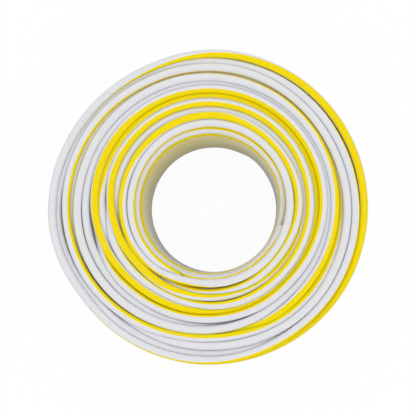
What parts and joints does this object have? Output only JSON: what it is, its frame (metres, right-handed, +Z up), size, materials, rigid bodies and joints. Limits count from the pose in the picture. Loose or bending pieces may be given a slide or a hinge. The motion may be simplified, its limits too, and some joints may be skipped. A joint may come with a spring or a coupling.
{
  "type": "coil of electrical wire",
  "caption": "Bare layer-wound ring of striped single-core electrical wire, lying on one end face, with an open centre hole for a pay-out spindle.",
  "frame": {"origin": "middle of the lower end face, on the winding axis, at the level the coil lies on", "axes": "+Z up along the winding axis, out of the end face that is seen; +X and +Y lie in the end face"},
  "size_m": [0.156, 0.156, 0.05],
  "materials": {
    "insulation": "satin PVC, white with one yellow stripe along the wire"
  },
  "bodies": {
    "root": {"wound_turns": "insulation"}
  },
  "joints": []
}
